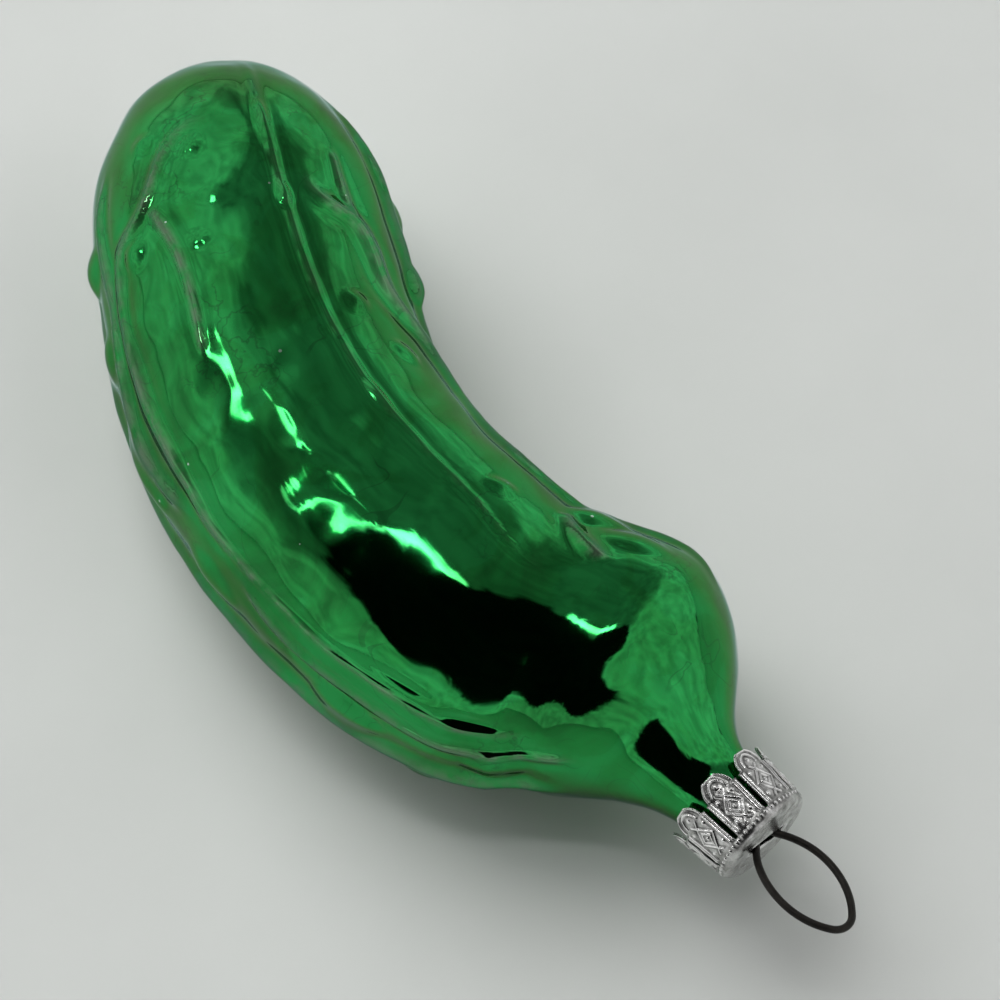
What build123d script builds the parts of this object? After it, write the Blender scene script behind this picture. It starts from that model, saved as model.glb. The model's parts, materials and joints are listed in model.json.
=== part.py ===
from build123d import *
import os
from math import asin, atan2, cos, degrees, hypot, radians, sin, sqrt, tan

# Blown glass pickle ornament: a hollow ridged glass body, a crown cap and a sprung wire hanger.
# It lies on its belly: the neck points along +X, the body bends in the XY plane, and +Z is up.
# All lengths are in millimetres and all angles in degrees.

# Spine of the body in plan: a straight stem at the neck, two tangent bends and a straight tail
STEM_RUN = 14.5
STEM_BEND = 20.1
STEM_BEND_RADIUS = 43.0
BELLY_BEND = 51.6
BELLY_BEND_RADIUS = 58.0
TAIL_RUN = 34.0

# Thickness of the body, as radii at distances from the mouth along the spine
NECK_RADIUS = 4.9
NECK_LENGTH = 6.5
SHOULDER_RADIUS = 15.0
SHOULDER_AT = 23.5
BELLY_RADIUS = 16.9
BELLY_AT = 46.5
TAIL_RADIUS = 17.0
TAIL_AT = 92.0
GLASS_WALL = 0.8

# The shoulder leans to the inner side of the bend
SHOULDER_LEAN = 3.1
SHOULDER_LEAN_AT = 21.0
SHOULDER_LEAN_REACH = 14.0

# Ridges that wander along the pickle: half the angle that each takes up and its height, then its places,
# as distances from the mouth and angles round the spine from its inner side up over the top
RIDGES = (
    (8, 0.9, ((18, 0), (28, 2), (42, -5), (56, 2), (70, -2), (81, 6), (90, 15), (97, 23), (108, 30))),
    (6, 0.8, ((18, 30), (26, 26), (36, 24), (44, 30), (51, 25), (60, 18), (69, 23), (77, 38), (92, 56))),
    (4, 0.5, ((21, 92), (30, 86), (41, 73), (52, 70), (78, 72), (97, 76), (114, 68))),
    (4.5, 0.7, ((24, 150), (34, 152), (66, 150), (82, 150), (89, 145), (94, 134), (100, 127), (108, 122))),
    (4.5, 0.7, ((18, 162), (34, 167), (50, 164), (60, 164), (67, 167), (78, 165), (90, 163), (101, 155))),
    (8, 0.9, ((17, 190), (26, 186), (40, 191), (52, 188), (66, 194), (80, 190), (94, 194), (107, 205))),
    (8, 0.9, ((17, 220), (32, 224), (48, 219), (64, 225), (80, 220), (96, 226), (109, 235))),
    (8, 0.8, ((17, 252), (30, 255), (46, 250), (62, 256), (78, 250), (94, 255), (108, 262))),
    (8, 0.9, ((17, 288), (30, 286), (46, 291), (62, 286), (79, 292), (95, 285), (109, 290))),
    (8, 0.9, ((17, 322), (30, 320), (46, 325), (62, 319), (78, 326), (94, 322), (107, 318))),
)
PANEL_SPAN = 8.0

# Warts: distance from the mouth, angle round the spine, half width and height of each
WARTS = (
    (91, 95, 2.8, 0.95),
    (97, 106, 1.6, 0.6),
    (100, 118, 1.5, 0.6),
    (85, 132, 2.2, 0.8),
    (92, 178, 3.5, 1.1),
    (81, 178, 3.0, 0.7),
    (70, 179, 3.4, 0.9),
    (58, 176, 3.4, 0.7),
    (42, 178, 3.4, 0.8),
    (92, 1, 3.2, 0.9),
    (80, 20, 2.8, 0.8),
    (72, 58, 2.4, 0.6),
    (41, 58, 2.2, 0.5),
    (31, 40, 3.6, 0.9),
    (88, 207, 3.1, 0.9),
    (70, 208, 3.1, 0.9),
    (52, 205, 3.2, 0.9),
    (36, 206, 3.0, 0.8),
    (98, 305, 2.8, 0.8),
    (80, 308, 3.1, 0.9),
    (60, 303, 3.0, 0.9),
    (44, 340, 3.2, 0.9),
    (73, 342, 3.0, 0.8),
    (86, 238, 2.7, 0.7),
    (58, 238, 2.8, 0.7),
    (68, 272, 2.6, 0.6),
)

# Crown cap: drawn sheet with a flat face, a flared skirt cut into petals and a slot for the wire
CAP_SHEET = 0.25
CAP_CORNER = 0.9
CAP_BAND = 1.2
CAP_SEAT_GAP = 0.1
CAP_NECK_CLEARANCE = 0.55
SKIRT_FLARE = 4.0
PETALS = 8
PETAL_TURN = 16.0
PETAL_LENGTH = 4.3
PETAL_GAP = 0.45
TONGUE_LENGTH = 1.9
TONGUE_NOTCH = 0.45
TONGUE_FLAT = 0.15

# Wire hanger: a pear-shaped loop above the cap and two sprung legs inside the neck
WIRE_RADIUS = 0.4
LOOP_HEIGHT = 12.15
LOOP_WIDTH = 7.9
LOOP_WIDEST_AT = 5.75
LOOP_TIP_RADIUS = 2.2
LOOP_LEAN = 5.8
WAIST_RADIUS = 1.6
LEG_DEPTH = 13.0
LEG_BORE_CLEARANCE = 0.7
SLOT_END_CLEARANCE = 0.2
SLOT_SIDE_CLEARANCE = 0.3
SLOT_TURN = -20.0

# Sections of the lofts in each stretch of the body
NECK_STEPS = 2
FLARE_STEPS = 6
BELLY_STEPS = 4
BACK_STEPS = 7
DOME_STEPS = 6


def smooth_step(share):
    share = min(max(share, 0.0), 1.0)
    return share * share * (3 - 2 * share)


def blend(distance, start, end, first, last):
    """Value that passes smoothly from first at start to last at end."""
    return first + (last - first) * smooth_step((distance - start) / (end - start))


# The spine, from the mouth of the neck to the tip of the tail
with BuildLine() as spine:
    stem = Line((0, 0), (-STEM_RUN, 0))
    stem_arc = JernArc(stem @ 1, stem % 1, STEM_BEND_RADIUS, STEM_BEND)
    belly_arc = JernArc(stem_arc @ 1, stem_arc % 1, BELLY_BEND_RADIUS, -BELLY_BEND)
    tail = Line(belly_arc @ 1, belly_arc @ 1 + (belly_arc % 1) * TAIL_RUN)
spine_wire = spine.wire()
spine_length = spine_wire.length
dome_length = spine_length - TAIL_AT


def radius_at(distance, wall=0.0):
    """Radius of the body between its ridges, or of the hollow inside its wall."""
    if distance < SHOULDER_AT:
        radius = blend(distance, NECK_LENGTH, SHOULDER_AT, NECK_RADIUS, SHOULDER_RADIUS)
    elif distance < BELLY_AT:
        radius = blend(distance, SHOULDER_AT, BELLY_AT, SHOULDER_RADIUS, BELLY_RADIUS)
    else:
        radius = blend(distance, BELLY_AT, TAIL_AT, BELLY_RADIUS, TAIL_RADIUS)
    dome_share = max(0.0, distance - TAIL_AT) / (dome_length - wall)
    return (radius - wall) * sqrt(max(0.0, 1 - dome_share**2))


def station(distance):
    """Plane square to the spine: x to the inner side of the bend, y up, the underside kept level."""
    centre = spine_wire.position_at(distance, PositionMode.LENGTH)
    towards_mouth = spine_wire.tangent_at(distance, PositionMode.LENGTH) * -1
    inner_side = Vector(-towards_mouth.Y, towards_mouth.X, 0)
    from_lean = abs(distance - SHOULDER_LEAN_AT) / SHOULDER_LEAN_REACH
    lean = SHOULDER_LEAN * smooth_step(1 - from_lean)
    rise = radius_at(min(max(distance, SHOULDER_AT), TAIL_AT)) - SHOULDER_RADIUS
    return Plane(centre + inner_side * lean + Vector(0, 0, rise), x_dir=inner_side, z_dir=towards_mouth)


def ridge_share_at(distance):
    """Ridges rise out of the neck's flare and fade into the tip of the tail."""
    from_neck = smooth_step((distance - NECK_LENGTH) / (SHOULDER_AT - NECK_LENGTH))
    dome_share = max(0.0, distance - TAIL_AT) / dome_length
    return from_neck * sqrt(1 - dome_share**2)


def ridge_angle_at(distance, places):
    """Angle of a ridge round the spine: even between its places, and steady past its ends."""
    near, near_angle = places[0]
    for far, far_angle in places[1:]:
        if distance < far:
            share = max(0.0, distance - near) / (far - near)
            return near_angle + (far_angle - near_angle) * share
        near, near_angle = far, far_angle
    return near_angle


def on_circle(radius, angle):
    return (radius * cos(radians(angle)), radius * sin(radians(angle)))


def even_steps(start, end, count):
    return [start + (end - start) * i / count for i in range(count)]


def section_distances(wall=0.0):
    """Distances of the sections from the mouth, closing up along the dome of the tail."""
    dome_angles = even_steps(0, radians(90), DOME_STEPS)
    return (
        even_steps(0, NECK_LENGTH, NECK_STEPS)
        + even_steps(NECK_LENGTH, SHOULDER_AT, FLARE_STEPS)
        + even_steps(SHOULDER_AT, BELLY_AT, BELLY_STEPS)
        + even_steps(BELLY_AT, TAIL_AT, BACK_STEPS)
        + [TAIL_AT + (dome_length - wall) * sin(angle) for angle in dome_angles]
    )


def panel_after(ridge, distance):
    """Angle of the panel between the feet of one ridge and of the next round the spine."""
    foot, _, places = RIDGES[ridge]
    next_foot, _, next_places = RIDGES[(ridge + 1) % len(RIDGES)]
    turn = ridge_angle_at(distance, next_places) - ridge_angle_at(distance, places)
    return turn % 360 - foot - next_foot


def outline_angles(distance):
    """Angles of the points round one section: each ridge's crest and feet, and steps across the panels."""
    angles = []
    for ridge, (foot, _, places) in enumerate(RIDGES):
        crest = ridge_angle_at(distance, places)
        panel_step = panel_after(ridge, distance) / panel_steps[ridge]
        angles.append(crest)
        angles += [crest + foot + panel_step * i for i in range(panel_steps[ridge] + 1)]
    return angles


def ridged_outline(distance):
    """Points round one section, lifted at the crests."""
    lifts = []
    for (_, height, _), steps in zip(RIDGES, panel_steps):
        lifts += [height * ridge_share_at(distance)] + [0] * (steps + 1)
    angles = outline_angles(distance)
    return [on_circle(radius_at(distance) + lift, angle) for lift, angle in zip(lifts, angles)]


# Every section has as many points as the widest panels need, and they lie at the same shares of its curve
distances = section_distances()
panel_steps = [
    max(1, round(max(panel_after(ridge, distance) for distance in distances) / PANEL_SPAN))
    for ridge in range(len(RIDGES))
]
point_angles = [sum(angles) / len(distances) for angles in zip(*map(outline_angles, distances))]
curve_shares = [(angle - point_angles[0]) / 360 for angle in point_angles] + [1.0]

# Warts: the balls that stand out of the glass
with BuildPart() as warts:
    for distance, angle, half_width, height in WARTS:
        ball_radius = (half_width**2 + height**2) / (2 * height)
        seat = on_circle(radius_at(distance) + height - ball_radius, angle)
        with Locations(station(distance).from_local_coords((*seat, 0))):
            Sphere(ball_radius)

# Glass body: a ridged outside with warts, a plain hollow inside and an open neck
with BuildPart() as glass_body:
    outside = []
    for distance in distances:
        with BuildSketch(station(distance), mode=Mode.PRIVATE) as ring:
            with BuildLine():
                add(Edge.make_spline(ridged_outline(distance), periodic=True, parameters=curve_shares))
            make_face()
        outside.append(ring.sketch)
    tail_tip = Vertex(station(spine_length).origin)
    loft(sections=[*outside, tail_tip])

    add(warts.part)

    with BuildSketch(station(0).offset(GLASS_WALL), mode=Mode.PRIVATE) as ring:
        Circle(radius_at(0, GLASS_WALL))
    hollow = [ring.sketch]
    for distance in section_distances(GLASS_WALL):
        with BuildSketch(station(distance), mode=Mode.PRIVATE) as ring:
            Circle(radius_at(distance, GLASS_WALL))
        hollow.append(ring.sketch)
    hollow_tip = Vertex(station(spine_length - GLASS_WALL).origin)
    loft(sections=[*hollow, hollow_tip], mode=Mode.SUBTRACT)

# Places along the neck's axis, from the cap's face back to the tips of its petals
cap_face = CAP_SEAT_GAP + CAP_SHEET
slit_end = cap_face - CAP_BAND
petal_shoulder = slit_end - PETAL_LENGTH
skirt_tip = petal_shoulder - TONGUE_LENGTH
cap_radius = NECK_RADIUS + CAP_NECK_CLEARANCE + CAP_SHEET
skirt_tip_radius = cap_radius + (cap_face - skirt_tip) * tan(radians(SKIRT_FLARE))

# The loop's arcs before it leans: a tip, a side that curves in to the slot, and the waist under the face
loop_half_width = LOOP_WIDTH / 2
tip_above_widest = LOOP_HEIGHT - LOOP_TIP_RADIUS - LOOP_WIDEST_AT
side_radius = (loop_half_width**2 + tip_above_widest**2 - LOOP_TIP_RADIUS**2) / (
    2 * (loop_half_width - LOOP_TIP_RADIUS)
)
tip_turn = degrees(atan2(side_radius - loop_half_width, tip_above_widest))
inward_lean = degrees(asin(LOOP_WIDEST_AT / side_radius))
strand_at_face = loop_half_width - side_radius * (1 - cos(radians(inward_lean)))

# Slot: long enough for both strands where they lean through the face, and wide enough to rock in
steepest_lean = radians(inward_lean + LOOP_LEAN)
outer_strand = strand_at_face * cos(radians(inward_lean)) / cos(steepest_lean)
slot_length = 2 * (outer_strand + WIRE_RADIUS / cos(steepest_lean) + SLOT_END_CLEARANCE)
slot_width = 2 * (WIRE_RADIUS + SLOT_SIDE_CLEARANCE)

# Crown cap: the sheet is revolved about the neck's axis, then the petals and the slot are cut
with BuildPart() as cap:
    with BuildSketch():
        with BuildLine():
            drawn_sheet = FilletPolyline(
                (cap_face, 0), (cap_face, cap_radius), (skirt_tip, skirt_tip_radius), radius=CAP_CORNER
            )
            offset(drawn_sheet, amount=CAP_SHEET, side=Side.LEFT)
        make_face()
    revolve(axis=Axis.X)

    half_gap = PETAL_GAP / 2
    tongue_edge = half_gap + TONGUE_NOTCH
    petal_middle = (skirt_tip_radius - CAP_SHEET) * sin(radians(180 / PETALS)) - TONGUE_FLAT
    past_tip = skirt_tip - CAP_SHEET
    for petal in range(PETALS):
        gap_angle = PETAL_TURN + (petal + 0.5) * 360 / PETALS
        side_on = Plane((0, 0, 0), x_dir=(1, 0, 0), z_dir=(0, *on_circle(1, gap_angle)))
        with BuildSketch(side_on.offset(cap_radius / 2)):
            with BuildLine():
                Polyline(
                    (skirt_tip, petal_middle),
                    (past_tip, petal_middle),
                    (past_tip, 0),
                    (slit_end, 0),
                    (slit_end, half_gap),
                    (petal_shoulder, half_gap),
                    (petal_shoulder, tongue_edge),
                )
                EllipticalCenterArc(
                    (petal_shoulder, petal_middle),
                    TONGUE_LENGTH,
                    petal_middle - tongue_edge,
                    start_angle=180,
                    arc_size=90,
                )
            make_face()
            mirror(about=Plane.XZ)
        extrude(amount=cap_radius, mode=Mode.SUBTRACT)

    with BuildSketch(Plane.YZ.offset(CAP_SEAT_GAP)):
        SlotOverall(slot_length, slot_width, rotation=SLOT_TURN)
    extrude(amount=2 * CAP_SHEET, mode=Mode.SUBTRACT)

# Hanger: one bent wire, whose loop leans over and whose legs spread towards the bore of the neck
slot_middle = Vector(cap_face, 0)
loop_tip = slot_middle + Vector(LOOP_HEIGHT, 0).rotate(Axis.Z, -LOOP_LEAN)
leg_end_offset = radius_at(0, GLASS_WALL) - WIRE_RADIUS - LEG_BORE_CLEARANCE
with BuildPart() as hanger:
    with BuildLine() as bent_wire:
        for side in (1, -1):
            across_tip = Vector(0, side).rotate(Axis.Z, -LOOP_LEAN)
            tip_arc = JernArc(loop_tip, across_tip, LOOP_TIP_RADIUS, side * tip_turn)
            side_turn = 90 - tip_turn + inward_lean
            side_arc = JernArc(tip_arc @ 1, tip_arc % 1, side_radius, side * side_turn)
            to_waist = (side_arc % 1).rotate(Axis.Z, -90 * side) * WAIST_RADIUS
            leg_end = Vector(-LEG_DEPTH, side * leg_end_offset)
            to_leg_end = leg_end - (side_arc @ 1 + to_waist)
            leg_splay = degrees(
                atan2(side * to_leg_end.Y, -to_leg_end.X)
                + asin(WAIST_RADIUS / hypot(to_leg_end.X, to_leg_end.Y))
            )
            waist_turn = inward_lean - side * LOOP_LEAN + leg_splay
            waist_arc = JernArc(side_arc @ 1, side_arc % 1, WAIST_RADIUS, -side * waist_turn)
            leg = Line(waist_arc @ 1, leg_end)
    with BuildSketch(Plane(leg @ 1, z_dir=leg % 1)):
        Circle(WIRE_RADIUS)
    sweep(path=bent_wire.wire())
hanger.part.move(Location((0, 0, 0), (SLOT_TURN, 0, 0)))

# The origin is under the middle of the whole ornament, on the surface that it lies on
pieces = {"glass_body": glass_body, "cap": cap, "hanger": hanger}
boxes = [piece.part.bounding_box() for piece in pieces.values()]
low = [min(getattr(box.min, axis) for box in boxes) for axis in "XYZ"]
high = [max(getattr(box.max, axis) for box in boxes) for axis in "XYZ"]
to_origin = Location((-(low[0] + high[0]) / 2, -(low[1] + high[1]) / 2, -low[2]))

os.makedirs("parts", exist_ok=True)
for name, piece in pieces.items():
    piece.part.move(to_origin)
    piece.part.label = name
    export_step(piece.part, f"parts/{name}.step")

print("middle of the mouth:", to_origin.position)
print("slot length:", slot_length)
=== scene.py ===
import json
from math import asin, atan2, cos, hypot, pi, radians, sin, sqrt, tan
import bmesh
import bpy
import numpy as np
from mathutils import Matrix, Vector, noise


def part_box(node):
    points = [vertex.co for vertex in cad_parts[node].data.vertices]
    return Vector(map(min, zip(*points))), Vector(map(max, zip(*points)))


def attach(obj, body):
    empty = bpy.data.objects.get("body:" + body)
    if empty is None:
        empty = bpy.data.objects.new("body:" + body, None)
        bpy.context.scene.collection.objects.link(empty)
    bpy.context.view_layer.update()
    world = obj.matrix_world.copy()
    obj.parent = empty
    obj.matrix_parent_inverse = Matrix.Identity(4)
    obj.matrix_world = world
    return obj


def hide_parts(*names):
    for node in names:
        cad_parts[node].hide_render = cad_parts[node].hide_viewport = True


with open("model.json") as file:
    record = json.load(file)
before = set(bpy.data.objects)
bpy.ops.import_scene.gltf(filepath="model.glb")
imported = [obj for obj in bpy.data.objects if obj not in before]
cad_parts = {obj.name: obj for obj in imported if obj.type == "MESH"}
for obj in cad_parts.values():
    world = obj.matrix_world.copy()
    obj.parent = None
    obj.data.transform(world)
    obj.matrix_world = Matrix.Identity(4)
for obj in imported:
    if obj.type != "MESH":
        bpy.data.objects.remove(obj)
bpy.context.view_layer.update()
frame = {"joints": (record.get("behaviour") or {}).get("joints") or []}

# Glass body
# The pickle is one thin shell of glass, blown into a ribbed and warted mould and cut off at its neck.
# It is silvered inside and dipped in clear green lacquer, so it shines like coloured metal under a gloss.
MM = 0.001
rock = next(joint for joint in frame["joints"] if joint["name"] == "hanger_rock")
slot_middle = Vector(rock["pos_m"])
mouth = Vector((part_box("glass_body")[1].x, slot_middle.y, slot_middle.z))

stem_run = 14.5 * MM
stem_bend, stem_bend_radius = radians(20.1), 43 * MM
belly_bend, belly_bend_radius = radians(51.6), 58 * MM
tail_run = 34 * MM
spine_runs = (
    (stem_run, 0),
    (stem_bend * stem_bend_radius, 1 / stem_bend_radius),
    (belly_bend * belly_bend_radius, -1 / belly_bend_radius),
    (tail_run, 0),
)
spine_length = sum(length for length, _ in spine_runs)

neck_radius, neck_length = 4.9 * MM, 6.5 * MM
shoulder_radius, shoulder_at = 15 * MM, 23.5 * MM
belly_radius, belly_at = 16.9 * MM, 46.5 * MM
tail_radius, tail_at = 17 * MM, 92 * MM
dome_length = spine_length - tail_at
glass_wall = 0.8 * MM
lean, lean_at, lean_reach = 3.1 * MM, 21 * MM, 14 * MM

# Welts stand up along the pickle, each with a shallow furrow at its foot.
# A point: distance from the mouth in mm, angle round the spine in degrees, half the width in mm.
welts = (
    # the seam of the mould along the top
    (
        (114, 68, 0.4), (103, 75, 0.5), (97, 76, 0.55), (90, 75, 0.5), (78, 72, 0.5),
        (69, 71, 0.45), (60, 71, 0.5), (52, 70, 0.35), (41, 73, 0.28), (30, 84, 0.2),
    ),
    # the long rib on the outer flank, which comes out of a vein on the tail
    (
        (100, 94, 0.5), (100, 105, 0.6), (97, 118, 0.6), (92, 125, 0.6), (90, 134, 0.6),
        (89, 146, 0.7), (82, 151, 0.8), (74, 151, 0.9), (66, 150, 0.8), (57, 152, 0.5),
        (49, 151, 0.3), (41, 152, 0.3), (34, 154, 0.35), (24, 152, 0.4),
    ),
    ((91, 126, 0.5), (88, 121, 0.55), (84, 117, 0.5), (78, 115, 0.5), (72, 118, 0.35)),
    # the lower edge of the long fold
    (
        (55, 154, 0.45), (53, 160, 0.5), (50, 162, 0.55), (46, 163, 0.55), (41, 164, 0.5),
        (34, 166, 0.5), (24, 163, 0.55), (18, 158, 0.5),
    ),
    # the outer flank beside the tail
    (
        (101, 150, 0.6), (96, 156, 0.9), (90, 159, 1.0), (84, 156, 0.8), (78, 162, 0.9),
        (73, 166, 1.0), (67, 166, 0.9), (62, 157, 0.6),
    ),
    # the inner flank
    (
        (92, 66, 0.6), (88, 62, 0.8), (87, 54, 0.9), (86, 46, 1.0), (82, 40, 1.1), (77, 38, 1.1),
        (73, 32, 1.1), (69, 22, 1.2), (60, 18, 1.2), (51, 25, 1.0), (44, 30, 0.9), (36, 24, 1.1),
        (26, 26, 1.0), (18, 30, 0.8),
    ),
    ((95, 50, 0.4), (90, 49, 0.6), (86, 45, 0.6)),
    (
        (108, 30, 0.7), (97, 23, 1.0), (90, 15, 1.2), (81, 6, 1.3), (70, -2, 1.2), (56, 2, 1.2),
        (42, -5, 1.2), (28, 2, 1.2), (18, 0, 0.9),
    ),
    # the shoulder
    ((34, 46, 0.8), (30, 60, 0.8), (27, 71, 0.7)),
    # the underside
    (
        (107, 205, 1.0), (94, 194, 1.4), (80, 190, 1.5), (66, 194, 1.4), (52, 188, 1.5),
        (40, 191, 1.4), (26, 186, 1.2), (17, 190, 0.9),
    ),
    (
        (109, 235, 1.0), (96, 226, 1.4), (80, 220, 1.5), (64, 225, 1.4), (48, 219, 1.5),
        (32, 224, 1.3), (17, 220, 0.9),
    ),
    (
        (108, 262, 1.0), (94, 255, 1.3), (78, 250, 1.4), (62, 256, 1.3), (46, 250, 1.4),
        (30, 255, 1.2), (17, 252, 0.9),
    ),
    (
        (109, 290, 1.0), (95, 285, 1.4), (79, 292, 1.5), (62, 286, 1.4), (46, 291, 1.5),
        (30, 286, 1.3), (17, 288, 0.9),
    ),
    (
        (107, 318, 1.0), (94, 322, 1.4), (78, 326, 1.5), (62, 319, 1.4), (46, 325, 1.5),
        (30, 320, 1.3), (17, 322, 0.9),
    ),
)
welt_height_to_width, welt_fade_share = 0.55, 0.1
furrow_share, furrow_off = 0.3, 2.1
seam_rubbed_share = 0.3

# Warts: distance in mm, angle in degrees, half length and half width in mm, height in mm, turn in degrees
warts = (
    # on the tail
    (91, 95, 3.2, 4.2, 0.28, 12),
    (96.6, 105, 1.6, 1.8, 0.4, 0),
    (100, 126, 1.5, 1.7, 0.4, 0),
    (84.5, 108, 1.2, 1.4, 0.2, 0),
    (87, 137, 2.4, 2.1, 0.5, 0),
    # thick places of the seam
    (99.5, 76, 2.6, 0.8, 0.35, 0),
    (88, 74.5, 1.9, 1.1, 0.4, 0),
    (59, 70.5, 3.0, 0.8, 0.3, 0),
    # the outer flank
    (92, 178, 3.6, 3.4, 1.1, 0),
    (81, 178, 3.0, 3.0, 0.7, 0),
    (70, 176, 5.0, 3.2, 0.9, 0),
    (58, 174, 4.0, 2.8, 0.7, 0),
    (42, 178, 4.0, 2.8, 0.8, 0),
    (28, 172, 4.0, 2.6, 0.6, 0),
    (46, 157, 12, 2.6, 0.4, 0),
    # the inner flank
    (92, 4, 3.4, 3.0, 0.9, 0),
    (82, 8, 3.0, 2.6, 0.8, 0),
    (73, 57, 2.2, 1.8, 0.45, 0),
    (65, 45, 2.6, 1.6, 0.4, 20),
    (41, 60, 2.4, 1.6, 0.45, 15),
    (31, 36, 4.0, 3.2, 0.9, 0),
    (26, 50, 3.0, 2.6, 0.5, 0),
    # the underside
    (88, 207, 3.2, 3.0, 0.9, 0),
    (70, 206, 3.0, 3.2, 0.9, 0),
    (52, 207, 3.4, 3.0, 0.9, 0),
    (36, 206, 3.0, 3.0, 0.8, 0),
    (98, 305, 3.0, 2.6, 0.8, 0),
    (80, 305, 3.4, 2.8, 0.9, 0),
    (60, 305, 3.2, 2.8, 0.9, 0),
    (44, 340, 3.4, 3.0, 0.9, 0),
    (73, 342, 3.2, 2.8, 0.8, 0),
    (86, 240, 2.8, 2.6, 0.7, 0),
    (58, 238, 3.0, 2.6, 0.7, 0),
    (68, 270, 2.8, 2.4, 0.6, 0),
    # dimples on top
    (61, 105, 2.4, 1.8, -0.06, 0),
    (54, 103, 3.4, 2.2, -0.10, 20),
    # dimples beside the long fold
    (31.6, 149, 2.6, 0.9, -0.35, 0),
    (38, 146, 3.4, 0.7, -0.25, 0),
    (39.6, 172, 1.4, 0.9, -0.3, 0),
)
wart_roundness = 1.3


def smooth_step(share):
    share = np.clip(share, 0, 1)
    return share * share * (3 - 2 * share)


def walk(distance, runs):
    """Place and heading after a distance along straight runs and arcs that set out from zero."""
    x, y = np.zeros_like(distance), np.zeros_like(distance)
    heading, left = np.zeros_like(distance), distance
    for length, curvature in runs:
        step = np.clip(left, 0, length)
        left = left - step
        if curvature == 0:
            x = x + step * np.cos(heading)
            y = y + step * np.sin(heading)
        else:
            turned = heading + step * curvature
            x = x + (np.sin(turned) - np.sin(heading)) / curvature
            y = y - (np.cos(turned) - np.cos(heading)) / curvature
            heading = turned
    return x, y, heading


def girth_at(distance):
    """Radius of the pickle before its tail is rounded off."""
    flare = smooth_step((distance - neck_length) / (shoulder_at - neck_length))
    belly = smooth_step((distance - shoulder_at) / (belly_at - shoulder_at))
    tail = smooth_step((distance - belly_at) / (tail_at - belly_at))
    return (
        neck_radius
        + (shoulder_radius - neck_radius) * flare
        + (belly_radius - shoulder_radius) * belly
        + (tail_radius - belly_radius) * tail
    )


def drawn_line(points, step=0.4):
    """Even steps along a line of points, with its corners rounded off."""
    points = np.array(points, float)
    run = np.hypot(np.diff(points[:, 0]), np.radians(np.diff(points[:, 1])) * belly_radius / MM)
    along = np.concatenate([[0], np.cumsum(run)])
    at = np.arange(0, along[-1], step)
    line = np.stack([np.interp(at, along, column) for column in points.T], axis=1)
    reach = 8
    window = np.hanning(2 * reach + 3)[1:-1]
    window /= window.sum()
    padded = np.pad(line, ((reach, reach), (0, 0)), mode="reflect", reflect_type="odd")
    return np.stack([np.convolve(column, window, mode="valid") for column in padded.T], axis=1)


def turn_between(angle, other):
    return (angle - other + pi) % (2 * pi) - pi


# Rings of the shell: up the hollow from its closed end, over the lip, and down the outside to the tail
hollow_dome_rings, hollow_rings, lip_rings, outside_rings, dome_rings = 14, 36, 6, 206, 52
around = 272
hollow_turns = np.linspace(pi / 2, 0, hollow_dome_rings)
dome_turns = np.linspace(0, pi / 2, dome_rings)
rings = [(tail_at + (dome_length - glass_wall) * sin(turn), glass_wall, turn) for turn in hollow_turns]
rings += [(at, glass_wall, 0) for at in np.linspace(tail_at, glass_wall, hollow_rings)[1:]]
rings += [
    (glass_wall / 2 * (1 - sin(turn)), glass_wall / 2 * (1 + cos(turn)), 0)
    for turn in np.linspace(0, pi, lip_rings)
]
rings += [(at, 0, 0) for at in np.linspace(glass_wall / 2, tail_at, outside_rings)[1:]]
rings += [(tail_at + dome_length * sin(turn), 0, turn) for turn in dome_turns[1:]]
rings = np.array(rings)

shell = bmesh.new()
bmesh.ops.create_grid(shell, x_segments=around, y_segments=len(rings) - 1, size=0.5)
glass_mesh = bpy.data.meshes.new("glass_body_blown")
shell.to_mesh(glass_mesh)
shell.free()


def grid_places(mesh):
    """Each vertex of a unit grid as its two shares, from 0 to 1."""
    flat = np.empty(len(mesh.vertices) * 3)
    mesh.vertices.foreach_get("co", flat)
    return flat.reshape(-1, 3)[:, 0] + 0.5, flat.reshape(-1, 3)[:, 1] + 0.5


turn_share, ring_share = grid_places(glass_mesh)
angle = turn_share * 2 * pi
distance, depth, dome_turn = rings[np.rint(ring_share * (len(rings) - 1)).astype(int)].T
outside = depth == 0

# The plain bent body: the spine's place and heading, and the way the surface points
girth = girth_at(distance)
radius = (girth - depth) * np.cos(dome_turn)
back, side, heading = walk(distance, spine_runs)
inner_side = np.stack([-np.sin(heading), np.cos(heading), np.zeros_like(heading)], axis=1)
tailward = np.stack([-np.cos(heading), -np.sin(heading), np.zeros_like(heading)], axis=1)
rise = girth_at(np.clip(distance, shoulder_at, tail_at)) - shoulder_radius
centre = np.stack([-back, -side, rise], axis=1)
centre += inner_side * (lean * smooth_step(1 - np.abs(distance - lean_at) / lean_reach))[:, None]
outward = inner_side * np.cos(angle)[:, None]
outward[:, 2] = np.sin(angle)
place = centre + outward * radius[:, None] + np.array(mouth)

nudge = 0.05 * MM
slope = (girth_at(distance + nudge) - girth_at(distance - nudge)) / (2 * nudge)
dome_tilt = np.arctan2(girth * np.sin(dome_turn), dome_length * np.cos(dome_turn))
tilt = np.where(dome_turn > 0, dome_tilt, -np.arctan(slope))
normal = outward * np.cos(tilt)[:, None] + tailward * np.sin(tilt)[:, None]

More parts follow.
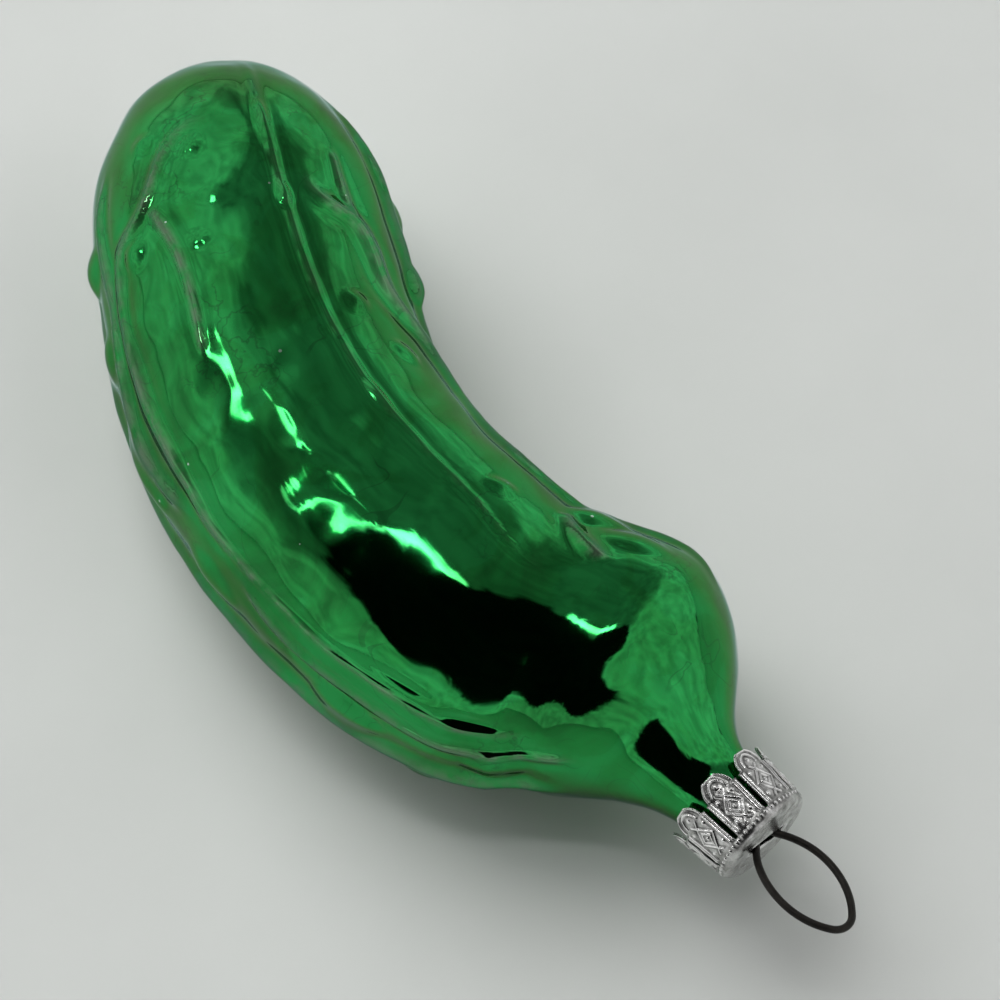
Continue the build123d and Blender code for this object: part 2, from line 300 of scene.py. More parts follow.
# Welts and warts lift the outside
lift = np.zeros_like(distance)
crest = np.zeros_like(distance)
for points in welts:
    line = drawn_line(points)
    near = np.full_like(distance, np.inf)
    near_width = np.ones_like(distance)
    near_share = np.zeros_like(distance)
    for i, (at, turn, half_width) in enumerate(line):
        off = np.hypot(distance / MM - at, turn_between(angle, radians(turn)) * radius / MM)
        closer = off < near
        near = np.where(closer, off, near)
        near_width = np.where(closer, half_width, near_width)
        near_share = np.where(closer, i / (len(line) - 1), near_share)
    ends = smooth_step(np.minimum(near_share, 1 - near_share) / welt_fade_share)
    top = np.exp(-((near / near_width) ** 2)) * ends
    furrow = np.exp(-((near / near_width - furrow_off) ** 2)) * ends
    lift += welt_height_to_width * near_width * MM * (top - furrow_share * furrow)
    rubbed_share = seam_rubbed_share if points is welts[0] else 1
    crest = np.maximum(crest, top * rubbed_share)
for at, turn, half_length, half_width, height, skew in warts:
    along = distance / MM - at
    across = turn_between(angle, radians(turn)) * radius / MM
    long_share = (along * cos(radians(skew)) + across * sin(radians(skew))) / half_length
    wide_share = (across * cos(radians(skew)) - along * sin(radians(skew))) / half_width
    bulge = np.clip(1 - long_share**2 - wide_share**2, 0, 1)
    lift += height * MM * bulge**wart_roundness
from_neck = smooth_step((distance - neck_length) / (shoulder_at - neck_length))
lift *= from_neck * np.cos(dome_turn)

# So do the slow waves of blown glass, each with its length and height, but not at the end of the neck
plain_neck, wave_fade = 3 * MM, 9 * MM
wave_sizes = ((14 * MM, 0.24 * MM), (6 * MM, 0.20 * MM), (3 * MM, 0.05 * MM))
waves = np.array([sum(high * noise.noise(Vector(p) / long) for long, high in wave_sizes) for p in place])
lift += waves * smooth_step((distance - plain_neck) / wave_fade)

# The underside lies on the floor, so what stands out there is pressed no lower than that
press, underside_tilt, no_floor = 0.15 * MM, 0.2, 1
room_below = place[:, 2] / np.maximum(-normal[:, 2], underside_tilt)
to_floor = np.where(normal[:, 2] < -underside_tilt, room_below, no_floor)
lift = -press * np.logaddexp(-lift / press, -to_floor / press)
place += normal * np.where(outside, lift, 0)[:, None]

glass_mesh.vertices.foreach_set("co", place.ravel())
rubbed_crest = np.where(outside, crest * from_neck, 0)
glass_mesh.attributes.new("welt", "FLOAT", "POINT").data.foreach_set("value", rubbed_crest)


def close_up(mesh, weld=0.002 * MM):
    """Merge the seam and the poles of a wrapped grid, turn its faces outwards and shade it smooth."""
    shape = bmesh.new()
    shape.from_mesh(mesh)
    bmesh.ops.remove_doubles(shape, verts=shape.verts, dist=weld)
    bmesh.ops.recalc_face_normals(shape, faces=shape.faces)
    for face in shape.faces:
        face.smooth = True
    shape.to_mesh(mesh)
    shape.free()


close_up(glass_mesh)
glass_body = bpy.data.objects.new("glass_body_blown", glass_mesh)
bpy.context.scene.collection.objects.link(glass_body)


def node_maker(owner):
    """Two short calls that add nodes and links to a material or a world."""
    owner.use_nodes = True
    tree = owner.node_tree

    def node(kind, **settings):
        made = tree.nodes.new(kind)
        for name, value in settings.items():
            if name in made.inputs:
                made.inputs[name].default_value = value
            else:
                setattr(made, name, value)
        return made

    return node, tree.links.new


def colour_steps(ramp, *steps):
    """Set a colour ramp to (position, colour) steps."""
    elements = ramp.color_ramp.elements
    while len(elements) < len(steps):
        elements.new(1)
    for element, (position, colour) in zip(elements, steps):
        element.position = position
        element.color = (*colour, 1)


def ranged(node, link, value, start, end, least, most, interpolation="LINEAR"):
    """Spread a value socket's run from start to end over one from least to most."""
    made = node("ShaderNodeMapRange", interpolation_type=interpolation)
    for name, number in zip(("From Min", "From Max", "To Min", "To Max"), (start, end, least, most)):
        made.inputs[name].default_value = number
    link(value, made.inputs["Value"])
    return made.outputs["Result"]


def product(node, link, first, second):
    made = node("ShaderNodeMath", operation="MULTIPLY")
    link(first, made.inputs[0])
    link(second, made.inputs[1])
    return made.outputs["Value"]


def painted_over(node, link, under, amount, colour):
    """Lay a plain colour over a colour socket, by an amount socket."""
    under_socket, over_socket, result_socket = 6, 7, 2
    mixed = node("ShaderNodeMix", data_type="RGBA")
    link(amount, mixed.inputs["Factor"])
    link(under, mixed.inputs[under_socket])
    mixed.inputs[over_socket].default_value = (*colour, 1)
    return mixed.outputs[result_socket]


lacquer = bpy.data.materials.new("green_lacquer_over_silver")
node, link = node_maker(lacquer)
shader = lacquer.node_tree.nodes["Principled BSDF"]
shader.inputs["Metallic"].default_value = 1
shader.inputs["Specular Tint"].default_value = (0.02, 0.40, 0.30, 1)
shader.inputs["Coat Weight"].default_value = 0.55
shader.inputs["Coat Roughness"].default_value = 0.015
shader.inputs["Coat IOR"].default_value = 1.4
on_piece = node("ShaderNodeTexCoord")

# The dip ran and pooled, so its green is deeper in soft clouds
cloud = node("ShaderNodeTexNoise", Scale=100, Detail=6, Roughness=0.55, Distortion=0.6)
link(on_piece.outputs["Object"], cloud.inputs["Vector"])
greens = node("ShaderNodeValToRGB")
colour_steps(
    greens,
    (0.36, (0.004, 0.19, 0.028)),
    (0.45, (0.006, 0.255, 0.040)),
    (0.49, (0.007, 0.27, 0.046)),
    (0.51, (0.009, 0.30, 0.056)),
    (0.66, (0.013, 0.34, 0.070)),
)
link(cloud.outputs["Fac"], greens.inputs["Fac"])

# Hairline cracks where the silver has lifted, only in some places
bent = node("ShaderNodeTexNoise", Scale=420, Detail=3)
link(on_piece.outputs["Object"], bent.inputs["Vector"])
bent_share = 0.006
straight_socket, bent_socket, shaken_socket = 4, 5, 1
shaken = node("ShaderNodeMix", data_type="VECTOR")
shaken.inputs["Factor"].default_value = bent_share
link(on_piece.outputs["Object"], shaken.inputs[straight_socket])
link(bent.outputs["Color"], shaken.inputs[bent_socket])
crack = node("ShaderNodeTexVoronoi", Scale=260, feature="DISTANCE_TO_EDGE")
link(shaken.outputs[shaken_socket], crack.inputs["Vector"])
hairline = ranged(node, link, crack.outputs["Distance"], 0, 0.05, 1, 0)
where = node("ShaderNodeTexNoise", Scale=75, Detail=2)
link(on_piece.outputs["Object"], where.inputs["Vector"])
crack_places = ranged(node, link, where.outputs["Fac"], 0.56, 0.66, 0, 0.55, "SMOOTHSTEP")
cracked = product(node, link, hairline, crack_places)
with_cracks = painted_over(node, link, greens.outputs["Color"], cracked, (0.003, 0.07, 0.014))

# Tide marks where the wet lacquer stopped and dried
tide = node("ShaderNodeTexNoise", Scale=130, Detail=1.5, Distortion=1.2)
link(on_piece.outputs["Object"], tide.inputs["Vector"])
mark_level, mark_half = 0.5, 0.008
on_mark = node("ShaderNodeMath", operation="COMPARE")
link(tide.outputs["Fac"], on_mark.inputs[0])
on_mark.inputs[1].default_value = mark_level
on_mark.inputs[2].default_value = mark_half
mark_places = ranged(node, link, where.outputs["Fac"], 0.5, 0.4, 0, 0.4, "SMOOTHSTEP")
marked = product(node, link, on_mark.outputs["Value"], mark_places)
with_marks = painted_over(node, link, with_cracks, marked, (0.003, 0.10, 0.018))

# Handling has rubbed the crests of the welts to a greyer green
welt = node("ShaderNodeAttribute", attribute_name="welt")
rub = node("ShaderNodeTexNoise", Scale=330, Detail=4, Roughness=0.7)
link(on_piece.outputs["Object"], rub.inputs["Vector"])
rub_places = ranged(node, link, rub.outputs["Fac"], 0.3, 0.62, 0, 0.85, "SMOOTHSTEP")
rubbed = product(node, link, welt.outputs["Fac"], rub_places)
worn = painted_over(node, link, with_marks, rubbed, (0.15, 0.21, 0.145))

# A few specks of dust stick to it
grain = node("ShaderNodeTexVoronoi", Scale=420, feature="F1")
link(on_piece.outputs["Object"], grain.inputs["Vector"])
grain_radius, clean_share = 0.075, 0.95
in_grain = node("ShaderNodeMath", operation="LESS_THAN")
link(grain.outputs["Distance"], in_grain.inputs[0])
in_grain.inputs[1].default_value = grain_radius
grain_draw = node("ShaderNodeSeparateColor")
link(grain.outputs["Color"], grain_draw.inputs["Color"])
is_dust = node("ShaderNodeMath", operation="GREATER_THAN")
link(grain_draw.outputs["Red"], is_dust.inputs[0])
is_dust.inputs[1].default_value = clean_share
dusty = product(node, link, in_grain.outputs["Value"], is_dust.outputs["Value"])
with_dust = painted_over(node, link, worn, dusty, (0.45, 0.62, 0.5))
link(with_dust, shader.inputs["Base Color"])

gloss = ranged(node, link, cloud.outputs["Fac"], 0, 1, 0.035, 0.085)
link(gloss, shader.inputs["Roughness"])
glass_mesh.materials.append(lacquer)
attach(glass_body, "glass")
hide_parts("glass_body")

# Crown cap
# The cap is stamped from thin bright tinplate: a flat face with a slot, and a skirt of eight petals.
# Each petal ends in a round tongue and carries a pressed lattice; the petals sit loosely round the neck.
sheet = 0.25 * MM
face_gap, skirt_gap = 0.1 * MM, 0.55 * MM
cap_corner, band_height = 0.9 * MM, 1.2 * MM
petal_length, tongue_length = 4.3 * MM, 1.9 * MM
cap_face = mouth.x + face_gap + sheet
slit_end = cap_face - band_height
cap_radius = neck_radius + skirt_gap + sheet
skirt_flare = radians(4)
petals, petal_turn, petal_gap = 8, radians(16), 0.45 * MM
tongue_notch = 0.45 * MM
slot_half_length, slot_half_width = 2.582 * MM, 0.7 * MM
slot_turn = radians(-20)

petal_columns, gap_columns = 44, 4
sector_columns = petal_columns + gap_columns
face_rows, corner_rows, band_rows, petal_rows, tongue_rows = 14, 9, 6, 44, 26


def skirt_radius(along):
    return cap_radius + (cap_face - along) * tan(skirt_flare)


# Rings of the sheet from the slot out over the corner and down the skirt: place along the axis and radius
corner_turn = pi / 2 - skirt_flare
corner_reach = cap_corner * tan(corner_turn / 2)
corner_middle = (cap_face - cap_corner, cap_radius - corner_reach)
cap_rings = [(cap_face, corner_middle[1] * share) for share in np.linspace(0, 1, face_rows)]
cap_rings += [
    (corner_middle[0] + cap_corner * cos(turn), corner_middle[1] + cap_corner * sin(turn))
    for turn in np.linspace(0, corner_turn, corner_rows)[1:]
]
band_places = np.linspace(cap_rings[-1][0], slit_end, band_rows)[1:]
cap_rings += [(along, skirt_radius(along)) for along in band_places]
band_end = len(cap_rings) - 1
petal_shoulder = slit_end - petal_length
petal_places = np.linspace(slit_end, petal_shoulder, petal_rows)[1:]
cap_rings += [(along, skirt_radius(along)) for along in petal_places]
shoulder_ring = len(cap_rings) - 1
tongue_start_turn = 0.03
tongue_shares = np.sin(np.linspace(tongue_start_turn, pi / 2, tongue_rows))
cap_rings += [
    (petal_shoulder - tongue_length * share, skirt_radius(petal_shoulder - tongue_length * share))
    for share in tongue_shares
]
cap_rings = np.array(cap_rings)

crown = bmesh.new()
bmesh.ops.create_grid(crown, x_segments=petals * sector_columns, y_segments=len(cap_rings) - 1, size=0.5)
cap_mesh = bpy.data.meshes.new("cap_stamped")
crown.to_mesh(cap_mesh)
crown.free()
column_share, ring_share = grid_places(cap_mesh)
column = np.rint(column_share * petals * sector_columns).astype(int)
ring = np.rint(ring_share * (len(cap_rings) - 1)).astype(int)
petal, step = np.divmod(column, sector_columns)
along, radius = cap_rings[ring].T

# Petals narrow to their tongues below the shoulder
half_sector = pi / petals
half_petal = half_sector - np.arcsin(petal_gap / 2 / np.maximum(radius, cap_radius))
half_tip = 0.02
tongue_share = np.clip((petal_shoulder - along) / tongue_length, 0, 1)
tongue_half = (half_petal - tongue_notch / cap_radius) * np.sqrt(1 - tongue_share**2) + half_tip
half_turn = np.where(ring > shoulder_ring, tongue_half, half_petal)
across_share = step / petal_columns * 2 - 1
in_gap = step > petal_columns
gap_share = (step - petal_columns) / gap_columns
turn = np.where(in_gap, half_petal + gap_share * 2 * (half_sector - half_petal), across_share * half_turn)
angle = petal_turn + petal * 2 * half_sector + turn

# The face opens at the slot: rings of the face start from its outline
slot_straight = slot_half_length - slot_half_width
lengthwise, crosswise = np.abs(np.cos(angle - slot_turn)), np.abs(np.sin(angle - slot_turn))
least_crosswise = 1e-6
to_side = slot_half_width / np.maximum(crosswise, least_crosswise)
to_end = slot_straight * lengthwise + np.sqrt(
    np.maximum(slot_half_width**2 - (slot_straight * crosswise) ** 2, 0)
)
slot_edge = np.where(to_side * lengthwise <= slot_straight, to_side, to_end)
face_share = np.clip(ring / (face_rows - 1), 0, 1)
radius = np.where(ring < face_rows, slot_edge + (corner_middle[1] - slot_edge) * face_share, radius)

# Pressed pattern of a petal in mm: a runs from the slits to the tip, b out from the petal's middle
a = (slit_end - along) / MM
b = turn * radius / MM
edge = half_turn * radius / MM
tip = (petal_length + tongue_length) / MM
line_half = 0.1
lattice_start, lattice_end = 0.35, 4.45
lattice_middle, lattice_half_length, lattice_half_width = 2.35, 1.4, 1.1
diamond_half_length, diamond_half_width, diamond_scale = 0.8, 0.62, 0.45
border_start, border_end, border_offs = 0.25, 4.2, (0.2, 0.55)
arch_foot, arch_height, arch_half_width, arch_scale = 4.35, 1.4, 0.95, 1.1
tongue_start, tongue_border_off = 4.4, 0.12
zigzag = np.abs((((a - lattice_middle) / lattice_half_length) % 2) - 1)
slant = hypot(lattice_half_length, lattice_half_width) / lattice_half_length
diamond = np.abs(b) / diamond_half_width + np.abs(a - lattice_middle) / diamond_half_length
arch = np.hypot(b / arch_half_width, (a - arch_foot) / arch_height)
on_lattice = (a > lattice_start) & (a < lattice_end) & ~in_gap
on_petal = (a > border_start) & (a < border_end) & ~in_gap
on_tongue = (a > tongue_start) & ~in_gap

# How far each place is from the middle of a pressed line, and where that line runs
pressed_lines = [
    ((np.abs(b) - lattice_half_width * zigzag) / slant, on_lattice),
    ((diamond - 1) * diamond_scale, on_petal),
    ((arch - 1) * arch_scale, on_tongue),
    (np.minimum(edge - np.abs(b), tip - a) - tongue_border_off, on_tongue),
]
pressed_lines += [(edge - border_off - np.abs(b), on_petal) for border_off in border_offs]
# Each pressed line has a shallow furrow at its foot, which dips the sheet and is painted darker as
# painted shade
grime_off = 2
relief = np.zeros_like(a)
grime = np.zeros_like(a)
for off, runs_here in pressed_lines:
    in_halves = np.abs(off) / line_half
    relief = np.maximum(relief, np.where(runs_here, np.exp(-(in_halves**2)), 0))
    grime = np.maximum(grime, np.where(runs_here, np.exp(-((in_halves - grime_off) ** 2)), 0))

# Dots of each petal: place below the slits, distance from the middle and radius
dots = ((3.7, 1.05, 0.24), (1.0, 1.05, 0.24), (2.35, 0, 0.26), (5.0, 0, 0.3))
for dot_at, dot_off, dot_radius in dots:
    dot = np.clip(1 - ((a - dot_at) ** 2 + (np.abs(b) - dot_off) ** 2) / dot_radius**2, 0, 1)
    relief = np.maximum(relief, np.where(in_gap, 0, dot))

# A row of beads round the band above the slits, with a shallow furrow between them that is also painted
# darker as painted shade
bead_at, bead_spacing, bead_radius = -0.25, 0.6, 0.2
bead_grime, bead_grime_half = 0.7, 0.35
bead_off = (b + bead_spacing / 2) % bead_spacing - bead_spacing / 2
beads = np.clip(1 - (bead_off**2 + (a - bead_at) ** 2) / bead_radius**2, 0, 1)
relief = np.maximum(relief, beads)
grime = np.maximum(grime, bead_grime * np.exp(-(((a - bead_at) / bead_grime_half) ** 2))) * (1 - relief)

# A low collar round the slot
collar_off, collar_half, collar_height = 0.4, 0.22, 0.8
from_slot = (radius - slot_edge) / MM
collar = collar_height * np.exp(-(((from_slot - collar_off) / collar_half) ** 2))
relief = np.where(ring < face_rows, collar, relief)
# The furrows dip the sheet, and through the relief attribute they also darken the tinplate colour as
# painted shade
grime_depth = 0.35
relief = relief - grime_depth * grime
relief_height = 0.13 * MM

on_skirt = ring >= face_rows
radius = radius + np.where(on_skirt, relief * relief_height, 0)
along = along + np.where(on_skirt, 0, relief * relief_height)
dent_depth, dents_around, dents_along = 0.06 * MM, 7, 900
dent_places = zip(np.cos(angle) * dents_around, np.sin(angle) * dents_around, along * dents_along)
dents = np.array([noise.noise(Vector(dent_place)) for dent_place in dent_places])
radius = radius + np.where(on_skirt, dents * dent_depth, 0)
cap_places = np.stack([along, mouth.y + radius * np.cos(angle), mouth.z + radius * np.sin(angle)], axis=1)
cap_mesh.vertices.foreach_set("co", cap_places.ravel())
cap_mesh.attributes.new("relief", "FLOAT", "POINT").data.foreach_set("value", relief)

# The slits between the petals are cut out
crown = bmesh.new()
crown.from_mesh(cap_mesh)
cut = []
for face in crown.faces:
    corners = [vertex.index for vertex in face.verts]
    if min(ring[corners]) >= band_end and any(in_gap[corners]):
        cut.append(face)
bmesh.ops.delete(crown, geom=cut, context="FACES")
crown.to_mesh(cap_mesh)
crown.free()
close_up(cap_mesh)
cap = bpy.data.objects.new("cap_stamped", cap_mesh)
bpy.context.scene.collection.objects.link(cap)
thickness = cap.modifiers.new("sheet", "SOLIDIFY")
thickness.thickness = sheet
thickness.offset = -1

tinplate = bpy.data.materials.new("bright_tinplate")
node, link = node_maker(tinplate)
shader = tinplate.node_tree.nodes["Principled BSDF"]
shader.inputs["Metallic"].default_value = 1
on_piece = node("ShaderNodeTexCoord")
# The tinplate grey follows the relief: raised lines, dots, beads and the slot collar are painted lighter
# as painted highlight, the furrows at their feet darker as painted shade, and the tarnish noise adds
# uneven tone
pressed = node("ShaderNodeAttribute", attribute_name="relief")
tarnish = node("ShaderNodeTexNoise", Scale=900, Detail=5, Roughness=0.65)
link(on_piece.outputs["Object"], tarnish.inputs["Vector"])
relief_share = 0.55
height = node("ShaderNodeMath", operation="MULTIPLY_ADD")
height.inputs[1].default_value = relief_share
link(pressed.outputs["Fac"], height.inputs[0])
link(tarnish.outputs["Fac"], height.inputs[2])
greys = node("ShaderNodeValToRGB")
colour_steps(
    greys,
    (0.22, (0.08, 0.08, 0.08)),
    (0.40, (0.32, 0.32, 0.31)),
    (0.58, (0.56, 0.56, 0.55)),
    (0.95, (0.88, 0.88, 0.87)),
)
link(height.outputs["Value"], greys.inputs["Fac"])
link(greys.outputs["Color"], shader.inputs["Base Color"])
dull = ranged(node, link, height.outputs["Value"], 0, 1, 0.36, 0.17)
link(dull, shader.inputs["Roughness"])
cap_mesh.materials.append(tinplate)
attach(cap, "cap")
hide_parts("cap")

# Hanger
# One length of dark spring wire, bent by hand into an oval loop that leans a little to one side.
# Its legs go through the slot and spread in the neck; the drawn wire has gone brown-black, with a sheen.
wire_radius = 0.4 * MM
loop_height, loop_half_width, widest_at = 12.15 * MM, 3.95 * MM, 5.75 * MM
tip_radius, waist_radius = 2.2 * MM, 1.6 * MM
loop_lean = radians(5.8)
leg_depth, leg_off = 13 * MM, 3.0 * MM

# The loop's arcs before it leans: a tip, and a side that curves in to the slot
tip_above_widest = loop_height - tip_radius - widest_at
side_radius = (loop_half_width**2 + tip_above_widest**2 - tip_radius**2) / (
    2 * (loop_half_width - tip_radius)
)
tip_turn = atan2(side_radius - loop_half_width, tip_above_widest)
inward_lean = asin(widest_at / side_radius)
oval_runs = [
    (tip_turn * tip_radius, 1 / tip_radius),
    ((pi / 2 - tip_turn + inward_lean) * side_radius, 1 / side_radius),
]
oval_length = sum(length for length, _ in oval_runs)
loop_up = Vector((cos(loop_lean), -sin(loop_lean)))
loop_tip = Vector((cap_face - mouth.x, 0)) + loop_up * loop_height


def strand_runs(side):
    """Runs of one half of the wire: round the oval, back out at the waist and down a sprung leg."""
    across_loop = Vector((-loop_up.y, loop_up.x)) * side
    across, down, heading = (value[0] for value in walk(np.array([oval_length]), oval_runs))
    at_face = loop_tip + across_loop * across - loop_up * down
    waist_middle = at_face + (across_loop * sin(heading) + loop_up * cos(heading)) * waist_radius
    to_leg_end = Vector((-leg_depth, side * leg_off)) - waist_middle
    leg_splay = atan2(side * to_leg_end.y, -to_leg_end.x) + asin(waist_radius / to_leg_end.length)
    waist_turn = inward_lean - side * loop_lean + leg_splay
    leg_length = sqrt(to_leg_end.length**2 - waist_radius**2)
    return [*oval_runs, (waist_turn * waist_radius, -1 / waist_radius), (leg_length, 0)]


# Rings of the wire from the end of one leg over the tip to the end of the other
strand_rings, rounding_rings, wire_around = 190, 6, 24
end_rounding = 0.15 * MM
round_turns = np.linspace(0, pi / 2, rounding_rings)
wire_rings = []
for side in (-1, 1):
    half_wire = sum(length for length, _ in strand_runs(side))
    strand_places = np.linspace(0, half_wire - end_rounding, strand_rings)
    half_rings = [(side * at, wire_radius) for at in strand_places]
    half_rings += [
        (
            side * (half_wire - end_rounding * (1 - sin(turn))),
            wire_radius - end_rounding * (1 - cos(turn)),
        )
        for turn in round_turns[1:]
    ]
    half_rings += [(side * half_wire, 0)]
    wire_rings += half_rings[:0:-1] if side < 0 else half_rings
wire_rings = np.array(wire_rings)
wire = bmesh.new()
bmesh.ops.create_grid(wire, x_segments=wire_around, y_segments=len(wire_rings) - 1, size=0.5)
wire_mesh = bpy.data.meshes.new("hanger_wire")
wire.to_mesh(wire_mesh)
wire.free()
turn_share, ring_share = grid_places(wire_mesh)
at, thick = wire_rings[np.rint(ring_share * (len(wire_rings) - 1)).astype(int)].T
strand_side = np.where(at < 0, -1, 1)
strands = [walk(np.abs(at), strand_runs(side)) for side in (-1, 1)]
across, down, heading = (np.where(at < 0, left, right) for left, right in zip(*strands))

# The hand bend sways a little in the loop's plane and out of it
sway_reach, sway_pitch, sway_row = 0.06 * MM, 160, 3
bow_reach, bow_pitch, bow_row = 0.12 * MM, 130, 9
sway_fade = 3 * MM
above_face = smooth_step((oval_length - np.abs(at)) / sway_fade)
sway = np.array([noise.noise(Vector((t * sway_pitch, sway_row, 0))) for t in at])
bow = np.array([noise.noise(Vector((t * bow_pitch, bow_row, 0))) for t in at])
sway = sway * sway_reach * above_face
bow = bow * bow_reach * above_face
turn = turn_share * 2 * pi
out_of_line = sway + thick * np.cos(turn)
sideways = strand_side * (across - out_of_line * np.sin(heading))
upward = -down - out_of_line * np.cos(heading)
in_plane = loop_tip.y + upward * loop_up.y + sideways * loop_up.x
square_off = bow + thick * np.sin(turn)
wire_places = np.stack(
    [
        mouth.x + loop_tip.x + upward * loop_up.x - sideways * loop_up.y,
        mouth.y + in_plane * cos(slot_turn) - square_off * sin(slot_turn),
        mouth.z + in_plane * sin(slot_turn) + square_off * cos(slot_turn),
    ],
    axis=1,
)
wire_mesh.vertices.foreach_set("co", wire_places.ravel())
close_up(wire_mesh)
hanger = bpy.data.objects.new("hanger_wire", wire_mesh)
bpy.context.scene.collection.objects.link(hanger)

dark_steel = bpy.data.materials.new("dark_spring_steel")
node, link = node_maker(dark_steel)
shader = dark_steel.node_tree.nodes["Principled BSDF"]
shader.inputs["Metallic"].default_value = 0.7
on_piece = node("ShaderNodeTexCoord")
oxide = node("ShaderNodeTexNoise", Scale=1400, Detail=4, Roughness=0.6)
link(on_piece.outputs["Object"], oxide.inputs["Vector"])
browns = node("ShaderNodeValToRGB")
colour_steps(
    browns,
    (0.3, (0.010, 0.009, 0.008)),
    (0.6, (0.020, 0.018, 0.015)),
    (0.8, (0.042, 0.034, 0.026)),
)
link(oxide.outputs["Fac"], browns.inputs["Fac"])
link(browns.outputs["Color"], shader.inputs["Base Color"])
sheen = ranged(node, link, oxide.outputs["Fac"], 0, 1, 0.3, 0.55)
link(sheen, shader.inputs["Roughness"])
wire_mesh.materials.append(dark_steel)
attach(hanger, "hanger")
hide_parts("hanger")

# Floor
# A plain board under the ornament, painted in a pale matt colour that is a little uneven in tone.
# It reaches past the picture on every side and takes the soft shadow of the glass.
board_half = 3
board = bmesh.new()
bmesh.ops.create_grid(board, x_segments=1, y_segments=1, size=board_half)
board_mesh = bpy.data.meshes.new("floor")
board.to_mesh(board_mesh)
board.free()
floor = bpy.data.objects.new("floor", board_mesh)
bpy.context.scene.collection.objects.link(floor)
paint = bpy.data.materials.new("pale_paint")
node, link = node_maker(paint)
shader = paint.node_tree.nodes["Principled BSDF"]
shader.inputs["Roughness"].default_value = 0.55
shader.inputs["Specular IOR Level"].default_value = 0.3
on_piece = node("ShaderNodeTexCoord")
mottle = node("ShaderNodeTexNoise", Scale=14, Detail=5)
link(on_piece.outputs["Object"], mottle.inputs["Vector"])
pale = node("ShaderNodeValToRGB")
colour_steps(pale, (0.35, (0.57, 0.59, 0.57)), (0.65, (0.62, 0.64, 0.62)))
link(mottle.outputs["Fac"], pale.inputs["Fac"])
link(pale.outputs["Color"], shader.inputs["Base Color"])
board_mesh.materials.append(paint)

# Light
# Soft studio light from a pale dome, with duller and brighter panels and a dark card set in it.
# A broad soft lamp beyond the tail fills the floor and is kept out of the reflections.
pale_level = 0.78
# A panel: middle on the dome (zenith 0, horizon 1), turn in degrees, half sizes, softness and level
panels = (
    # the dull panel overhead, the pale dome left open beside it, and a dull spot near the horizon
    ((-0.21, 0.04), 25, (0.38, 0.60), 0.20, 0.23),
    ((-0.62, 0.12), 0, (0.33, 0.32), 0.22, 0.74),
    ((0.55, 0.90), 58, (0.08, 0.10), 0.30, 0.10),
    # the bright strips, the last with a dark middle
    ((-0.08, -0.09), 52, (0.14, 0.030), 0.45, 10),
    ((-0.20, -0.23), 65, (0.12, 0.010), 0.45, 8),
    ((-0.39, -0.22), 60, (0.030, 0.025), 0.50, 9),
    ((-0.24, -0.09), 20, (0.022, 0.022), 0.40, 9),
    ((-0.225, -0.095), 0, (0.012, 0.015), 0.40, 0.004),
    # the dark card, in two pieces
    ((0.24, -0.37), -8, (0.44, 0.28), 0.07, 0.004),
    ((0.20, -0.06), -35, (0.17, 0.13), 0.10, 0.004),
)
studio = bpy.data.worlds.new("studio")
bpy.context.scene.world = studio
node, link = node_maker(studio)
background = studio.node_tree.nodes["Background"]
background.inputs["Color"].default_value = (1, 1, 1, 1)
looking = node("ShaderNodeTexCoord")
split = node("ShaderNodeSeparateXYZ")
link(looking.outputs["Generated"], split.inputs["Vector"])
nadir_height = 1.0001
above_nadir = node("ShaderNodeMath", operation="ADD")
above_nadir.inputs[1].default_value = nadir_height
link(split.outputs["Z"], above_nadir.inputs[0])
on_dome = node("ShaderNodeVectorMath", operation="DIVIDE")
link(looking.outputs["Generated"], on_dome.inputs[0])
link(above_nadir.outputs["Value"], on_dome.inputs[1])
flattened = node("ShaderNodeVectorMath", operation="MULTIPLY")
flattened.inputs[1].default_value = (1, 1, 0)
link(on_dome.outputs["Vector"], flattened.inputs[0])

# The panels have ragged edges
jog_reach = 0.16
ragged = node("ShaderNodeTexNoise", Scale=8, Detail=3, Roughness=0.6)
link(flattened.outputs["Vector"], ragged.inputs["Vector"])
jog = node("ShaderNodeVectorMath", operation="MULTIPLY_ADD")
jog.inputs[1].default_value = (jog_reach, jog_reach, 0)
jog.inputs[2].default_value = (-jog_reach / 2, -jog_reach / 2, 0)
link(ragged.outputs["Color"], jog.inputs[0])
jogged = node("ShaderNodeVectorMath", operation="ADD")
link(flattened.outputs["Vector"], jogged.inputs[0])
link(jog.outputs["Vector"], jogged.inputs[1])

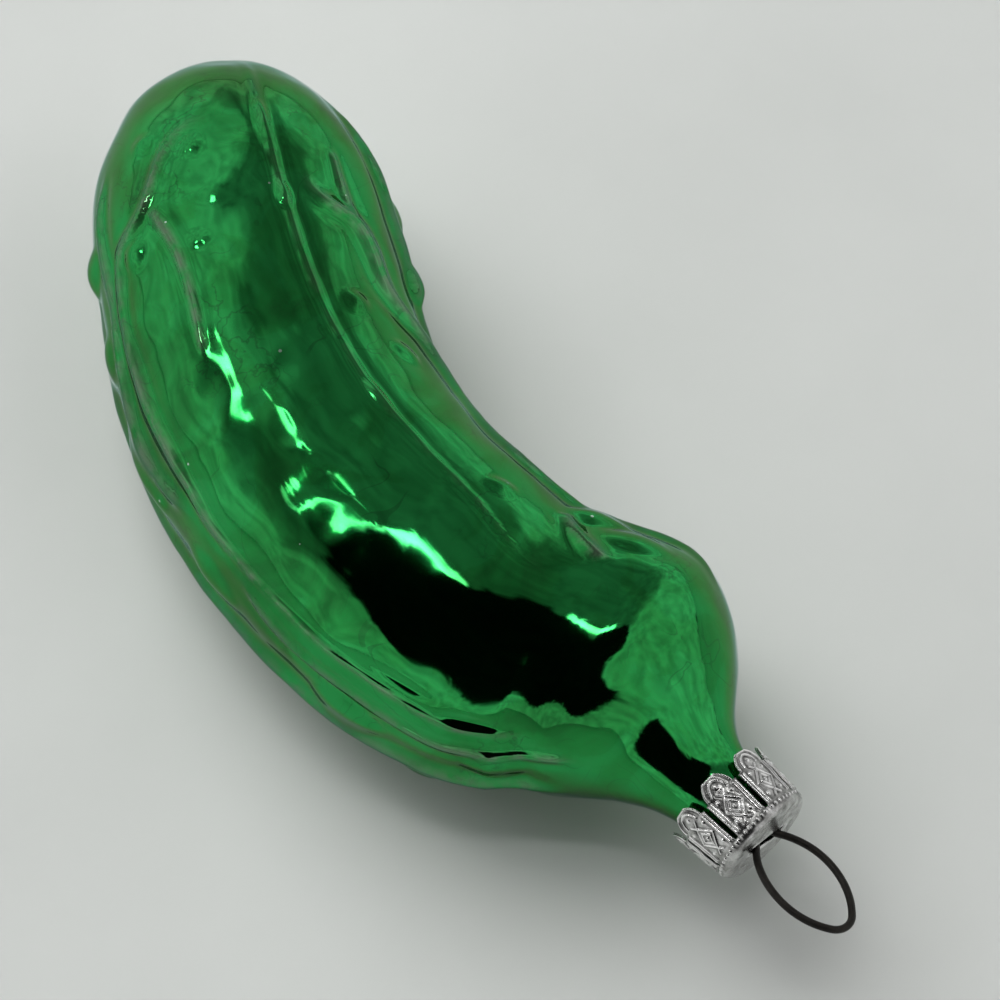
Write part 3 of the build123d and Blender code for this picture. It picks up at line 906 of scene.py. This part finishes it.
# A panel is a rounded box: the fourth powers of a place's two shares of its half sizes add up to under 1
level_socket, panel_socket, result_socket = 2, 3, 0
level = None
for middle, turn, half_size, softness, brightness in panels:
    patch = node("ShaderNodeMapping", vector_type="TEXTURE")
    patch.inputs["Location"].default_value = (*middle, 0)
    patch.inputs["Rotation"].default_value = (0, 0, radians(turn))
    patch.inputs["Scale"].default_value = (*half_size, 1)
    link(jogged.outputs["Vector"], patch.inputs["Vector"])
    squared = node("ShaderNodeVectorMath", operation="MULTIPLY")
    link(patch.outputs["Vector"], squared.inputs[0])
    link(patch.outputs["Vector"], squared.inputs[1])
    boxy = node("ShaderNodeVectorMath", operation="DOT_PRODUCT")
    link(squared.outputs["Vector"], boxy.inputs[0])
    link(squared.outputs["Vector"], boxy.inputs[1])
    outer, inner = (1 + softness) ** 4, (1 - softness) ** 4
    inside = ranged(node, link, boxy.outputs["Value"], outer, inner, 0, 1, "SMOOTHSTEP")
    mixed = node("ShaderNodeMix", data_type="FLOAT")
    link(inside, mixed.inputs["Factor"])
    if level is None:
        mixed.inputs[level_socket].default_value = pale_level
    else:
        link(level, mixed.inputs[level_socket])
    mixed.inputs[panel_socket].default_value = brightness
    level = mixed.outputs[result_socket]

# The light of the dome is a little uneven
haze = node("ShaderNodeTexNoise", Scale=11, Detail=2.5)
link(flattened.outputs["Vector"], haze.inputs["Vector"])
uneven = ranged(node, link, haze.outputs["Fac"], 0.35, 0.65, 0.75, 1.2)
lit_dome = product(node, link, level, uneven)
link(lit_dome, background.inputs["Strength"])

lamp_data = bpy.data.lights.new("soft_lamp", "AREA")
lamp_data.shape = "DISK"
lamp_data.size = 0.9
lamp_data.energy = 9
lamp = bpy.data.objects.new("soft_lamp", lamp_data)
bpy.context.scene.collection.objects.link(lamp)
lamp.location = (-0.70, 0.05, 0.85)
lamp.rotation_mode = "QUATERNION"
lamp.rotation_quaternion = (-lamp.location).to_track_quat("-Z", "Y")
lamp.visible_glossy = False

# Camera
# It looks steeply down on the ornament from the neck's side, with a long lens,
# so that the tail lies at the upper left of the square picture and the loop at the lower right.
camera_data = bpy.data.cameras.new("camera")
camera_data.lens = 111.2
camera = bpy.data.objects.new("camera", camera_data)
bpy.context.scene.collection.objects.link(camera)
target = Vector((2.2, 5.65, 16.25)) * MM
camera.location = Vector((115.15, -102.1, 309.85)) * MM
camera.rotation_mode = "QUATERNION"
camera.rotation_quaternion = (target - camera.location).to_track_quat("-Z", "Y")
bpy.context.scene.camera = camera
bpy.context.scene.view_settings.view_transform = "Standard"
